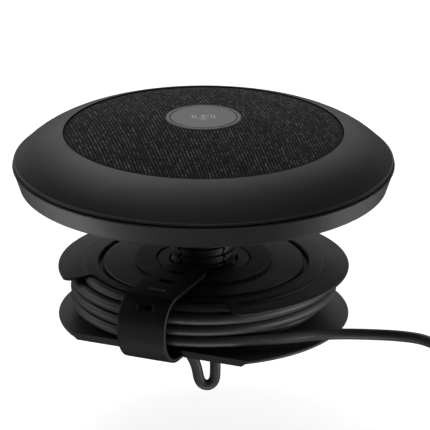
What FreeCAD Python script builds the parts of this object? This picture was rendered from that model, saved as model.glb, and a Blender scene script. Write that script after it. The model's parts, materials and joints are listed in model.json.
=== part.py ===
import FreeCAD, Part
import math
import os

# Microphone pod in a through-table mount with a screw-up cable reel, in millimetres.
# The origin is on the stem axis in the table-top plane, on which the mount rests.
# +Z is up and -Y is the side with the cable strap.
# Azimuths are in degrees from -Y towards +X.

os.makedirs("parts", exist_ok=True)
Vec = FreeCAD.Vector
AXIS_X = Vec(1, 0, 0)
AXIS_Z = Vec(0, 0, 1)
OVERLAP = 0.2            # how far a fused feature sinks into a floor

# ---------------------------------------------------------------- driving dimensions
# table-top mount
RING_R = 70.0            # widest radius
RING_BASE_R = 67.4       # outer radius at the table top
BASE_BOTTOM_Z = 0.4      # rigid underside; the anti-slip ring stands below it
FLOOR_TOP = 3.4
LAND_Z = 8.9             # top land of the base band
SEAM = 0.25              # shadow gap between base band and trim ring
GRIP_RING_R0, GRIP_RING_R1 = 52.0, 60.0     # anti-slip ring
GRIP_GROOVE_TOP = 1.4
TRIM_EDGE_Z = 20.65      # top of the trim ring at its bore
TRIM_BORE_R = 51.3       # bore that the pod drops through
TRIM_WALL = 2.2
TRIM_ARC_CENTRE = (44.05, -11.92)           # centre (r, z) of the outer arc
TRIM_ARC_R = 33.41

# pod
POD_R = 50.6
POD_FLOOR_Z = 5.0
POD_WALL = 1.8
POD_FLOOR_TOP = POD_FLOOR_Z + POD_WALL
DOME_APEX_Z = 26.5       # apex of the fabric's crown, if it ran to the middle
DOME_R = 213.6           # crown radius of the fabric
FABRIC_T = 0.6
FABRIC_R0 = 14.15        # central opening of the fabric
SHELL_T = 1.6
SHELL_INSET = FABRIC_T + 0.05               # top shell's outside below the fabric's
SHELL_SPLIT_Z = 17.0     # housing rim, where the fabric skirt ends
FOOT_R0, FOOT_R1 = 39.0, 43.1               # foot ring under the housing
BUTTON_R = 12.15         # mute key
BUTTON_Z = 26.2          # top of the mute key
BUTTON_STEM_Z = 19.4     # lower end of the key's central stem
INLAY_Z = BUTTON_Z - 0.6                    # floor of the symbol's pocket
GUIDE_R = 13.85          # light guide ring
BOARD_Z = 14.0
BOARD_T = 1.6
BOARD_TOP = BOARD_Z + BOARD_T
PARTS_Z = BOARD_TOP + 0.02                  # underside of the parts on the board
LED_R = 13.2
MIC_R = 33.0
CHIP_XY = 17.0           # centre of processor and shield can, in both x and y
FACING_AZ = 23.8         # azimuth of the mute symbol's foot

# stem
STEM_BORE_R = 8.0
STEM_ROOT_R = 10.85
STEM_CREST_R = 12.2
STEM_END = -48.0
FLANGE_HEAD_Z = 3.78     # lower end of the countersunk heads in the flange
PITCH = 3.0
TURNS = 14
THREAD_TOP = -2.5
THREAD_START_Z = THREAD_TOP - 1.2 - PITCH * TURNS
KEYWAY_W = 1.3
KEYWAY_FLOOR_R = 10.3
KEYWAY_AZ = -26.6        # first of the four keyways

# reel
NUT_TOP = -29.6          # top of the nut's disc
NUT_R = 37.0
NUT_BORE_R = 12.45
NUT_HUB_R = 17.5
NUT_END = -43.6
GRIP_PAD_T = 1.2
REEL_R = 53.6
REEL_FLAT_R = REEL_R - 0.6                  # where the flanges' rounded rims begin
UP_TOP = -30.7           # top of the upper flange's outer ring
UP_BOT = -31.9
DRUM_R = 36.5
LOW_TOP = -49.4
LOW_BOT = -50.6
CHORD_Y = -40.3          # straight edge of the lower flange
WINDOW_AZ0, WINDOW_AZ1 = -48.5, 36.0        # ends of the upper flange's cable window
WINDOW_R = 42.0
WINDOW_CORNER_R = 3.0    # rounding of the rim beside the window
WINDOW_CORNER_ANGLE = 3.3
PORT_AZ = -66.2          # port in the drum for the cable's inner end

# cable
CABLE_R = 2.03
TURN_R = 47.1
TURN_Z = (-34.6, -38.9, -43.3)

# strap
STRAP_W = 18.8
STRAP_T = 1.7
STRAP_TOP = -26.85       # top face of the flat run
STRAP_OUTER_Y = -56.0    # outer face where the strap bulges furthest
TIP_Y = -12.6
TIP_R = 8.0
TOP_BEND_R = 10.5        # outer radii of the two bends
LOW_BEND_R = 12.95
LOW_BEND_Z = -39.5
HINGE_Y = -42.6
HINGE_Z = -51.6
SLOT_HALF = 3.1          # half the width of the strap's slots
RIVET_X = (-5.0, 5.0)
RIVET_Y = -31.5


# ---------------------------------------------------------------- helpers
def polar(radius, azimuth, z=0.0):
    angle = math.radians(azimuth)
    return Vec(radius * math.sin(angle), -radius * math.cos(angle), z)


def diagonal_points(radius):
    return [polar(radius, 45.0 + 90.0 * k) for k in range(4)]


INSERT_POINTS = [polar(19.0, azimuth) for azimuth in (30.0, 150.0, 270.0)]
POST_POINTS = diagonal_points(41.0)         # housing screws
REEL_SCREW_POINTS = diagonal_points(30.0)
MIC_POINTS = [polar(MIC_R, 90.0 * k) for k in range(4)]
RIVET_POINTS = [Vec(x, RIVET_Y, 0) for x in RIVET_X]


def in_xz(r, z):
    return Vec(r, 0, z)


def in_yz(y, z):
    return Vec(0, y, z)


def face(points, place=in_xz):
    """Closed face. Points are (a, b), or (mid_a, mid_b, a, b) for an arc through the mid point."""
    edges = []
    here = place(*points[0])
    for point in list(points[1:]) + [points[0]]:
        end = place(*point[-2:])
        if len(point) == 4:
            edges.append(Part.Arc(here, place(*point[:2]), end).toShape())
        elif (end - here).Length > 1e-7:
            edges.append(Part.makeLine(here, end))
        here = end
    return Part.Face(Part.Wire(edges))


def polygon_face(points):
    return Part.Face(Part.makePolygon(points + [points[0]]))


def turn(shape, degrees):
    turned = shape.copy()
    turned.rotate(Vec(0, 0, 0), AXIS_Z, degrees)
    return turned


def around(shape, count, first=0.0):
    return [turn(shape, first + 360.0 * i / count) for i in range(count)]


def revolve(points, angle=360.0, start=0.0):
    """Turns an (r, z) outline about Z, starting at +X turned by start."""
    solid = face(points).revolve(Vec(0, 0, 0), AXIS_Z, angle)
    return turn(solid, start) if start else solid


def sector(r0, r1, z0, z1, az0, az1):
    """Ring sector between two azimuths."""
    return revolve([(r0, z0), (r1, z0), (r1, z1), (r0, z1)], az1 - az0, az0 - 90.0)


def diagonal_sectors(r0, r1, z0, z1, half_angle):
    return [sector(r0, r1, z0, z1, 45 + 90 * k - half_angle, 45 + 90 * k + half_angle)
            for k in range(4)]


def cyl(radius, z0, z1, at=Vec(0, 0, 0)):
    return Part.makeCylinder(radius, z1 - z0, Vec(at.x, at.y, z0))


def x_cyl(radius, x0, x1, y=0.0, z=0.0):
    return Part.makeCylinder(radius, x1 - x0, Vec(x0, y, z), AXIS_X)


def tube(r0, r1, z0, z1, at=Vec(0, 0, 0)):
    return cyl(r1, z0, z1, at).cut(cyl(r0, z0 - 1, z1 + 1, at))


def cone(r0, r1, height, z0, at):
    return Part.makeCone(r0, r1, height, Vec(at.x, at.y, z0))


def box(x0, x1, y0, y1, z0, z1):
    return Part.makeBox(x1 - x0, y1 - y0, z1 - z0, Vec(x0, y0, z0))


def square_box(half, z0, z1, centre=0.0):
    """Square block, its centre at the same x and y."""
    return box(centre - half, centre + half, centre - half, centre + half, z0, z1)


def cross_recess(z0, z1, at):
    cross = box(-1.3, 1.3, -0.25, 0.25, z0, z1).fuse(box(-0.25, 0.25, -1.3, 1.3, z0, z1))
    cross.translate(at)
    return cross


def first_solid(shape):
    return shape.Solids[0] if shape.Solids else shape


def clean(shape):
    """Merges split faces; a lone solid is taken out of its compound."""
    merged = shape.removeSplitter()
    return merged.Solids[0] if len(merged.Solids) == 1 else merged


def sweep(path, start, direction, radius):
    circle = Part.Wire([Part.Circle(start, direction, radius).toShape()])
    return first_solid(path.makePipeShell([circle], True, False))


def pipe(points, radius):
    """Round bar along a spline through the points."""
    curve = Part.BSplineCurve()
    curve.interpolate(Points=points)
    first = curve.FirstParameter
    path = Part.Wire([curve.toShape()])
    return sweep(path, curve.value(first), curve.tangent(first)[0], radius)


def ridge(base_r, base_w, tip_r, tip_w, z0, turns):
    """Right-hand helical ridge of trapezoidal section, starting at +X at height z0."""
    helix = Part.makeLongHelix(PITCH, PITCH * turns, base_r)
    helix.translate(Vec(0, 0, z0))
    section = Part.makePolygon([
        Vec(base_r, 0, z0 - base_w / 2), Vec(tip_r, 0, z0 - tip_w / 2),
        Vec(tip_r, 0, z0 + tip_w / 2), Vec(base_r, 0, z0 + base_w / 2),
        Vec(base_r, 0, z0 - base_w / 2)])
    solid = first_solid(Part.Wire(helix.Edges).makePipeShell([section], True, True))
    if solid.Volume < 0:
        solid.reverse()
    return solid


def dome_z(r, inset=0.0):
    """Height at radius r of the pod's crown, offset inwards."""
    return DOME_APEX_Z - DOME_R + math.sqrt((DOME_R - inset) ** 2 - r * r)


def trim_z(r, inset=0.0):
    """Height at radius r of the trim ring's arc, offset inwards."""
    centre_r, centre_z = TRIM_ARC_CENTRE
    return centre_z + math.sqrt((TRIM_ARC_R - inset) ** 2 - (r - centre_r) ** 2)


def save(name, shapes):
    solids = []
    for shape in shapes if isinstance(shapes, list) else [shapes]:
        solids += shape.Solids or [shape]
    result = solids[0] if len(solids) == 1 else Part.makeCompound(solids)
    result.exportStep(os.path.join("parts", name + ".step"))


# ================================================================ mount, fixed on the table
def base_ring():
    """Dish with floor, outer band, spigot and pod seat."""
    ring = revolve([
        (12.6, BASE_BOTTOM_Z), (66.7, BASE_BOTTOM_Z),
        (RING_BASE_R - 0.2, BASE_BOTTOM_Z + 0.15, RING_BASE_R + 0.1, 1.1),
        (69.72, 7.7), (RING_R, 8.45, 69.3, LAND_Z),
        (65.6, LAND_Z), (65.6, 10.15), (63.6, 10.15), (63.6, FLOOR_TOP), (12.6, FLOOR_TOP)])
    ring = ring.fuse(tube(51.6, 53.4, FLOOR_TOP - OVERLAP, 13.8))
    ring = ring.fuse(tube(38.5, 43.5, FLOOR_TOP - OVERLAP, 4.4))
    for rib in around(box(53.0, 64.0, -0.9, 0.9, FLOOR_TOP - OVERLAP, 8.2), 12, 15.0):
        ring = ring.fuse(rib)
    # groove in the band's inner wall for the trim ring's hooks
    ring = ring.cut(tube(63.0, 64.35, 6.0, 7.6))
    ring = ring.cut(tube(GRIP_RING_R0 - 0.05, GRIP_RING_R1 + 0.05,
                         BASE_BOTTOM_Z - 1, GRIP_GROOVE_TOP))
    for point in INSERT_POINTS:
        ring = ring.cut(cyl(1.8, 0.9, FLOOR_TOP + 1, point))
    return clean(ring)


def threaded_inserts():
    return [tube(1.25, 1.77, 0.95, FLOOR_TOP - 0.02, point) for point in INSERT_POINTS]


def anti_slip_ring():
    """Its lower face is the resting face at z = 0."""
    top = GRIP_GROOVE_TOP - 0.02
    return revolve([(GRIP_RING_R0, 0.0), (GRIP_RING_R1, 0.0),
                    (GRIP_RING_R1, top), (GRIP_RING_R0, top)])


def trim_ring():
    """Domed cover with six snap hooks inside."""
    ring = revolve([
        (TRIM_BORE_R, 15.0), (TRIM_BORE_R, TRIM_EDGE_Z - 0.35),
        (TRIM_BORE_R + 0.1, TRIM_EDGE_Z - 0.1, TRIM_BORE_R + 0.35, trim_z(TRIM_BORE_R + 0.35)),
        (61.45, trim_z(61.45), 69.1, trim_z(69.1)),
        (69.62, 9.95, 69.35, LAND_Z + SEAM),
        (65.85, LAND_Z + SEAM), (65.85, trim_z(65.85, TRIM_WALL)),
        (60.2, trim_z(60.2, TRIM_WALL), 53.1, trim_z(53.1, TRIM_WALL)),
        (53.1, 15.0)])
    hook = sector(61.5, 63.25, 6.25, 13.0, -4.0, 4.0).fuse(revolve(
        [(63.0, 6.3), (63.6, 6.3), (64.1, 6.75), (63.6, 7.25), (63.0, 7.25)], 8.0, -94.0))

    def hook_top(r):
        return trim_z(r, TRIM_WALL) + 0.3

    # the hooks end just inside the cover's wall
    hook = hook.common(revolve([
        (50.0, 5.0), (65.5, 5.0), (65.5, hook_top(65.5)),
        (60.2, hook_top(60.2), 53.2, hook_top(53.2)), (50.0, 17.0)]))
    for placed in around(hook, 6):
        ring = ring.fuse(placed)
    return clean(ring)


def threaded_stem():
    """Flange, tube, right-hand thread and four keyways."""
    flange_bottom = FLOOR_TOP + 0.03
    stem = revolve([
        (STEM_BORE_R, STEM_END), (STEM_ROOT_R - 0.5, STEM_END),
        (STEM_ROOT_R, STEM_END + 0.5), (STEM_ROOT_R, THREAD_TOP),
        (STEM_CREST_R, THREAD_TOP + 0.6), (STEM_CREST_R, flange_bottom),
        (24.0, flange_bottom), (24.0, 4.8), (STEM_BORE_R + 0.6, 4.8), (STEM_BORE_R, 4.2)])
    # the ridge's foot lies a little inside the tube, so that the two fuse
    stem = stem.fuse(ridge(STEM_ROOT_R - 0.25, 2.05, STEM_CREST_R, 1.0, THREAD_START_Z, TURNS))
    keyway = box(KEYWAY_FLOOR_R, STEM_CREST_R + 1.0, -KEYWAY_W / 2, KEYWAY_W / 2,
                 STEM_END - 1, THREAD_TOP + 0.7)
    for placed in around(keyway, 4, KEYWAY_AZ - 90.0):
        stem = stem.cut(placed)
    # countersunk screw holes in the flange
    for point in INSERT_POINTS:
        stem = stem.cut(cyl(1.4, FLOOR_TOP - 1, 6, point))
        stem = stem.cut(cone(1.4, 2.45, 1.05, FLANGE_HEAD_Z, point))
    return clean(stem)


def stem_screws():
    """Countersunk screws with hexagonal sockets."""
    screws = []
    for point in INSERT_POINTS:
        screw = cyl(1.2, 1.1, 4.0, point).fuse(cone(1.2, 2.3, 1.0, FLANGE_HEAD_Z, point))
        corners = [point + polar(0.8, 90.0 + 60 * i, 4.1) for i in range(6)]
        screws.append(clean(screw.cut(polygon_face(corners).extrude(Vec(0, 0, 2)))))
    return screws


# ================================================================ pod, lifts out
def pod_housing():
    """Lower cup with screw posts and a collar for the strain relief."""
    rim_r = POD_R - 1.2
    inner_r = POD_R - POD_WALL
    housing = revolve([
        (5.3, POD_FLOOR_Z), (44.8, POD_FLOOR_Z), (49.0, 6.6, POD_R, 10.6),
        (POD_R, SHELL_SPLIT_Z), (rim_r, SHELL_SPLIT_Z), (rim_r, 15.9),
        (inner_r, 15.9), (inner_r, 10.8),
        (47.5, 7.9, 44.4, POD_FLOOR_TOP), (5.3, POD_FLOOR_TOP)])
    for point in POST_POINTS:
        housing = housing.fuse(cyl(3.5, POD_FLOOR_Z + 1.0, BOARD_Z - 0.05, point))
    housing = housing.cut(tube(FOOT_R0 - 0.1, FOOT_R1 + 0.1, POD_FLOOR_Z - 1, 5.66))
    for point in POST_POINTS:
        housing = housing.cut(cyl(2.35, POD_FLOOR_Z - 1, 8.6, point))
        housing = housing.cut(cyl(1.4, POD_FLOOR_Z - 1, BOARD_Z + 1, point))
    housing = housing.fuse(tube(7.75, 9.2, POD_FLOOR_TOP - OVERLAP, 9.4))
    return clean(housing)


def pod_foot_ring():
    return revolve([(FOOT_R0, 4.45), (FOOT_R1, 4.45), (FOOT_R1, 5.62), (FOOT_R0, 5.62)])


def housing_screws():
    screws = []
    for point in POST_POINTS:
        screw = cyl(2.2, 6.4, 8.55, point).fuse(cyl(1.2, 8.0, 19.2, point))
        screws.append(clean(screw.cut(cross_recess(5.9, 7.3, point))))
    return screws


# rows of holes in the top shell: count, radius, half-angle kept clear at each diagonal
PERFORATIONS = ((18, 21.0, 0.0), (24, 27.0, 0.0), (36, 39.0, 7.0))


def pod_top_shell():
    """Domed and perforated, with the mute key's well and four screw bosses."""
    edge_r = POD_R - SHELL_INSET
    inner_r = POD_R - 2.6
    lip_r = POD_R - 1.3
    lip_z = SHELL_SPLIT_Z + 0.1
    inset = SHELL_INSET + SHELL_T
    shell = revolve([
        (3.2, 19.4), (15.5, 19.4), (15.5, dome_z(15.5, inset)),
        (30.0, dome_z(30.0, inset), inner_r, dome_z(inner_r, inset)),
        (inner_r, 15.95), (lip_r, 15.95), (lip_r, lip_z),
        (edge_r, lip_z), (edge_r, dome_z(edge_r, SHELL_INSET)),
        (32.0, dome_z(32.0, SHELL_INSET), 14.0, dome_z(14.0, SHELL_INSET)),
        (14.0, 22.35), (12.5, 22.35), (12.5, 20.45), (3.2, 20.45)])

    # the bosses stop just under the shell's outer surface
    inset = SHELL_INSET + 0.4
    above_z = dome_z(0.0, SHELL_INSET) + 10
    under_dome = cyl(60, 0, 40).cut(revolve([
        (0, above_z), (0, dome_z(0.0, inset)),
        (30.0, dome_z(30.0, inset), 60.0, dome_z(60.0, inset)), (60.0, above_z)]))
    for point in POST_POINTS:
        shell = shell.fuse(cyl(3.0, BOARD_TOP + 0.05, 22.5, point).common(under_dome))
        shell = shell.cut(cyl(1.25, BOARD_Z, 19.6, point))

    holes = []
    for count, radius, clear_angle in PERFORATIONS:
        for k in range(count):
            azimuth = 360.0 * (k + 0.5) / count
            if abs(azimuth % 90.0 - 45.0) >= clear_angle:
                holes.append(cyl(1.1, 15.8, 27, polar(radius, azimuth)))
    holes += [cyl(0.8, 15.8, 27, point) for point in MIC_POINTS]
    shell = shell.cut(Part.makeCompound(holes))
    # slots for the light guide's legs
    for slot in diagonal_sectors(12.45, 14.0, 19.0, 22.6, 6.5):
        shell = shell.cut(slot)
    return clean(shell)


def fabric_cover():
    """Stretched over the top shell, down to the housing rim."""
    crown_r = POD_R - 0.9
    crown_z = dome_z(crown_r)
    inner_r = POD_R - FABRIC_T
    hem_z = SHELL_SPLIT_Z + 0.08
    return clean(revolve([
        (FABRIC_R0, dome_z(FABRIC_R0, FABRIC_T)), (FABRIC_R0, dome_z(FABRIC_R0)),
        (32.0, dome_z(32.0), crown_r, crown_z),
        (POD_R - 0.14, crown_z - 0.32, POD_R, crown_z - 0.95),
        (POD_R, hem_z), (inner_r, hem_z), (inner_r, dome_z(inner_r, FABRIC_T)),
        (32.0, dome_z(32.0, FABRIC_T), FABRIC_R0, dome_z(FABRIC_R0, FABRIC_T))]))


def light_guide():
    """Ring round the mute key, with four legs down towards the LEDs."""
    inner_r = BUTTON_R + 0.2
    top = BUTTON_Z - 0.05
    guide = revolve([
        (inner_r, 22.45), (GUIDE_R, 22.45), (GUIDE_R, 25.9), (GUIDE_R - 0.25, top),
        (12.5, top), (inner_r, BUTTON_Z - 0.2)])
    for leg in diagonal_sectors(12.6, 13.8, 16.5, 22.6, 5):
        guide = guide.fuse(leg)
    return clean(guide)


def main_board():
    board = cyl(45.6, BOARD_Z, BOARD_TOP)
    for point in POST_POINTS:
        board = board.cut(cyl(1.6, BOARD_Z - 1, BOARD_TOP + 1, point))
    return clean(board)


def status_leds():
    led = box(-0.8, 0.8, -LED_R - 0.4, -LED_R + 0.4, PARTS_Z, PARTS_Z + 0.7)
    return around(led, 4, 45.0)


def microphones():
    """Each has a round port in its top."""
    mic = box(-1.75, 1.75, -MIC_R - 1.35, -MIC_R + 1.35, PARTS_Z, PARTS_Z + 1.0)
    mic = mic.cut(cyl(0.4, PARTS_Z + 0.4, PARTS_Z + 2, Vec(0, -MIC_R, 0)))
    return around(clean(mic), 4)


def mic_gaskets():
    return [tube(1.0, 3.0, PARTS_Z + 1.05, 21.05, point) for point in MIC_POINTS]


def audio_processor():
    return square_box(5, PARTS_Z, PARTS_Z + 0.9, CHIP_XY)


def shield_can():
    can = square_box(7, PARTS_Z, PARTS_Z + 2.0, CHIP_XY)
    return clean(can.cut(square_box(6.75, PARTS_Z - 1, PARTS_Z + 1.75, CHIP_XY)))


def key_switch():
    """Fixed body; the plunger moves in its well."""
    body = square_box(3.1, PARTS_Z, 18.0).cut(cyl(1.75, 16.6, 19))
    return clean(body.fuse(tube(1.75, 2.4, 17.9, 18.3)))


def switch_plunger():
    return cyl(1.6, 17.3, BUTTON_STEM_Z - 0.05)


def board_connector():
    return box(-5.0, 5.0, -3.2, 3.2, 10.6, BOARD_Z - 0.02)


def strain_relief():
    """Flange inside the housing, with a tapered, grooved sleeve down the stem."""
    bore_r = CABLE_R + 0.07
    tip_r, tip_z = 2.75, -12.0
    root_r, root_z = 4.3, 1.8
    flange_z = POD_FLOOR_TOP + 0.05
    relief = revolve([
        (bore_r, tip_z), (tip_r, tip_z), (root_r, root_z), (5.2, 2.2), (5.2, flange_z),
        (7.6, flange_z), (7.6, 8.6), (bore_r, 8.6)])
    taper = (root_r - tip_r) / (root_z - tip_z)
    for z in (-9.5, -6.5, -3.5, -0.5):
        groove_r = tip_r + taper * (z - tip_z) - 0.35
        relief = relief.cut(tube(groove_r, 6.0, z - 0.5, z + 0.5))
    return clean(relief)


def pod_cable():
    return cyl(CABLE_R, -21.0, 10.55)


# ================================================================ mute key
def bar(x0, y0, x1, y1, width):
    """Round-ended bar, 1 high on z = 0."""
    side = Vec(y0 - y1, x1 - x0, 0)
    side.normalize()
    side = side * (width / 2)
    start, end = Vec(x0, y0, 0), Vec(x1, y1, 0)
    flat = polygon_face([start + side, end + side, end - side, start - side])
    return flat.extrude(AXIS_Z).fuse([cyl(width / 2, 0, 1, start), cyl(width / 2, 0, 1, end)])


def arc_bar(radius, angle0, angle1, width, centre_y):
    """Curved bar, 1 high on z = 0; angles in degrees from +X towards +Y."""
    centre = Vec(0, centre_y, 0)
    ring = cyl(radius + width / 2, 0, 1, centre).cut(cyl(radius - width / 2, -1, 2, centre))
    rim = [centre + polar(20, 90 + angle0 + (angle1 - angle0) * i / 8.0) for i in range(9)]
    return ring.common(polygon_face([centre] + rim).extrude(AXIS_Z))


def mute_symbol(depth):
    """Microphone with sound arcs and a slash, standing depth high on the pocket's floor."""
    slash = (-2.6, -2.5, 2.9, 2.6)
    symbol = bar(0, -0.35, 0, 1.35, 1.7)
    symbol = symbol.fuse([
        arc_bar(1.75, 200, 340, 0.5, -0.2),
        bar(0, -2.0, 0, -2.75, 0.5), bar(-1.0, -2.85, 1.0, -2.85, 0.45),
        arc_bar(3.0, -32, 32, 0.5, 0.2), arc_bar(3.0, 148, 212, 0.5, 0.2),
        arc_bar(4.1, -30, 30, 0.5, 0.2), arc_bar(4.1, 150, 210, 0.5, 0.2)])
    # a clear band on both sides of the slash
    symbol = symbol.cut(bar(*slash, width=1.15)).fuse(bar(*slash, width=0.5))
    symbol = turn(symbol, FACING_AZ)
    symbol.translate(Vec(0, 0, INLAY_Z + depth - 1.0))
    return symbol.common(cyl(11.0, INLAY_Z, INLAY_Z + depth + 5))


def mute_key():
    skirt_r = BUTTON_R - 1.2
    under_z = BUTTON_Z - 1.5
    cap = revolve([
        (0, BUTTON_Z), (BUTTON_R - 0.25, BUTTON_Z), (BUTTON_R, BUTTON_Z - 0.25),
        (BUTTON_R, 21.3), (skirt_r, 21.3), (skirt_r, under_z), (2.6, under_z),
        (2.6, BUTTON_STEM_Z), (0, BUTTON_STEM_Z)])
    pocket = mute_symbol(BUTTON_Z - INLAY_Z)
    # the raised copy carries the cut through the top face
    return clean(cap.cut(pocket.fuse(pocket.translated(Vec(0, 0, 0.3)))))


def mute_symbol_lens():
    return mute_symbol(0.57).removeSplitter()


# ================================================================ reel and clamp
def clamp_washer():
    """Slides on the stem, its four keys in the keyways."""
    z0, z1 = NUT_TOP + 0.05, NUT_TOP + 0.85
    washer = tube(12.8, 16.8, z0, z1)
    half_key = KEYWAY_W / 2 - 0.15
    key = box(KEYWAY_FLOOR_R + 0.25, 13.2, -half_key, half_key, z0, z1)
    for placed in around(key, 4, KEYWAY_AZ - 90.0):
        washer = washer.fuse(placed)
    return clean(washer)


def clamp_nut():
    """Threaded hub and disc, with ribs, screw posts and a peg for the strap's slots."""
    disc_z = NUT_TOP - 1.8
    nut = revolve([
        (NUT_BORE_R, NUT_END), (NUT_HUB_R, NUT_END), (NUT_HUB_R, disc_z),
        (NUT_R, disc_z), (NUT_R, NUT_TOP - 0.3), (NUT_R - 0.3, NUT_TOP),
        (NUT_BORE_R + 0.4, NUT_TOP), (NUT_BORE_R, NUT_TOP - 0.4)])
    for rib in around(box(NUT_HUB_R - 0.5, 33.0, -0.8, 0.8, NUT_TOP - 8.0, NUT_TOP - 1.0), 8):
        nut = nut.fuse(rib)
    for point in REEL_SCREW_POINTS:
        nut = nut.fuse(cyl(3.2, LOW_TOP + 1.35, NUT_TOP - 1.0, point))
        nut = nut.cut(cyl(1.25, LOW_TOP - 1, -36.0, point))
    # internal thread, half a pitch off the stem's
    nut = nut.fuse(ridge(NUT_BORE_R + 0.2, 1.75, STEM_ROOT_R + 0.25, 0.75,
                         THREAD_START_Z + 1.5 * PITCH, 3.3))
    nut = nut.fuse(box(-2.6, 2.6, -33.2, -32.4, NUT_TOP - 0.5, -28.02))
    return clean(nut)


def grip_pad():
    """Low horseshoe bonded on the nut's disc; the strap's tip lies in its gap."""
    r0, r1 = 17.4, 25.2
    top = NUT_TOP + GRIP_PAD_T
    pad = revolve([
        (r0, NUT_TOP), (r1, NUT_TOP), (r1, NUT_TOP + 0.75),
        (r1 - 0.13, NUT_TOP + 1.07, r1 - 0.45, top), (r0 + 0.45, top),
        (r0 + 0.13, NUT_TOP + 1.07, r0, NUT_TOP + 0.75)])
    half_gap = STRAP_W / 2 + 0.8
    return clean(pad.cut(box(-half_gap, half_gap, -40, 0, NUT_TOP - 1, NUT_TOP + 5)))


def reel_upper_flange():
    """Stepped flange with the drum below it and a cable window in its rim."""
    drum_inner_r = DRUM_R - 1.7
    flange = revolve([
        (33.7, NUT_TOP - 1.85), (38.6, NUT_TOP - 1.85), (38.6, NUT_TOP - 0.35),
        (38.72, NUT_TOP - 0.08, 39.0, NUT_TOP), (39.6, NUT_TOP + 0.04, 40.1, NUT_TOP - 0.22),
        (42.2, NUT_TOP - 0.32), (43.9, NUT_TOP - 0.42, 44.9, NUT_TOP - 0.8),
        (45.1, UP_TOP), (REEL_FLAT_R, UP_TOP - 0.05),
        (REEL_R, (UP_TOP + UP_BOT) / 2, REEL_FLAT_R, UP_BOT),
        (DRUM_R, UP_BOT), (DRUM_R, LOW_TOP + 0.05), (drum_inner_r, LOW_TOP + 0.05),
        (drum_inner_r, NUT_TOP - 3.4), (33.7, NUT_TOP - 3.4)])

    z0, z1 = UP_BOT - 0.2, NUT_TOP + 2
    window = sector(WINDOW_R, REEL_R + 3, z0, z1, WINDOW_AZ0, WINDOW_AZ1)
    # guards the fillet of the window's two inner corners; if it fails they stay sharp
    try:
        corners = []
        for edge in window.Edges:
            bounds = edge.BoundBox
            upright = abs(bounds.ZLength - (z1 - z0)) < 1e-6
            if upright and math.hypot(bounds.Center.x, bounds.Center.y) < WINDOW_R + 1:
                corners.append(edge)
        window = window.makeFillet(3.8, corners)
    except Exception:
        pass
    flange = flange.cut(window)

    # rounded outer corners of the rim on both sides of the window
    centre_r = REEL_R - WINDOW_CORNER_R
    for end, beyond in ((WINDOW_AZ0, WINDOW_AZ0 - WINDOW_CORNER_ANGLE),
                        (WINDOW_AZ1, WINDOW_AZ1 + WINDOW_CORNER_ANGLE)):
        corner = sector(centre_r, REEL_R + 2, UP_BOT - 0.5, NUT_TOP + 1,
                        min(end, beyond), max(end, beyond))
        corner = corner.cut(cyl(WINDOW_CORNER_R + 0.02, UP_BOT - 1, NUT_TOP + 2,
                                polar(centre_r, beyond)))
        flange = flange.cut(corner)
    port = Part.makeCylinder(3.0, 6.0, polar(DRUM_R - 4, PORT_AZ, -41.0), polar(1, PORT_AZ))
    return clean(flange.cut(port))


def reel_lower_flange():
    """Disc with a straight edge and a lip along it, notched for the strap."""
    flange = revolve([
        (25.2, LOW_BOT), (REEL_FLAT_R, LOW_BOT),
        (REEL_R, (LOW_BOT + LOW_TOP) / 2, REEL_FLAT_R, LOW_TOP),
        (34.0, LOW_TOP), (34.0, LOW_TOP + 1.3), (25.2, LOW_TOP + 1.3)])
    flange = flange.cut(box(-60, 60, -60, CHORD_Y, LOW_BOT - 2, LOW_TOP + 2))
    half = math.sqrt(REEL_FLAT_R ** 2 - CHORD_Y ** 2) - 0.1
    lip_outline = [      # x, z
        (-half, LOW_TOP - 0.4), (half, LOW_TOP - 0.4), (half, LOW_BOT - 0.1),
        (half - 1.6, LOW_BOT - 1.3), (1.6 - half, LOW_BOT - 1.3), (-half, LOW_BOT - 0.1)]
    lip = polygon_face([Vec(x, CHORD_Y, z) for x, z in lip_outline]).extrude(Vec(0, 1.3, 0))
    half_notch = STRAP_W / 2 + 0.5
    flange = flange.fuse(lip).cut(
        box(-half_notch, half_notch, CHORD_Y - 1, CHORD_Y + 2, LOW_BOT - 3, LOW_BOT))
    for point in REEL_SCREW_POINTS:
        flange = flange.cut(cyl(1.4, LOW_BOT - 1, LOW_TOP + 2, point))
        flange = flange.cut(cyl(2.5, LOW_BOT - 1, LOW_BOT + 1.5, point))
    for point in RIVET_POINTS:
        flange = flange.cut(cyl(1.55, LOW_BOT - 1, LOW_TOP + 3, point))
    return clean(flange)


def reel_screws():
    screws = []
    for point in REEL_SCREW_POINTS:
        screw = cyl(2.35, LOW_BOT + 0.1, LOW_BOT + 1.45, point).fuse(
            cyl(1.2, LOW_BOT + 1, -38.0, point))
        screws.append(clean(screw.cut(cross_recess(LOW_BOT - 1, LOW_BOT + 0.85, point))))
    return screws


# ================================================================ cable
# centre line of the tail, from the lowest turn out over the lower flange's rim to the plug
TAIL_POINTS = [
    polar(TURN_R, 24.0, TURN_Z[2]), polar(TURN_R, 34.0, TURN_Z[2] - 0.15),
    polar(TURN_R + 0.4, 44.0, TURN_Z[2] - 0.5),
    Vec(43.5, -25.0, -44.6), Vec(52.0, -15.6, -45.4), Vec(60.5, -9.4, -45.9),
    Vec(70.0, -6.3, -46.1), Vec(80.0, -5.0, -46.6), Vec(90.0, -4.7, -48.0),
    Vec(102.0, -4.9, -51.0), Vec(116.0, -5.0, -55.5)]


def cable_tail():
    return pipe(TAIL_POINTS, CABLE_R)


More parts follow.
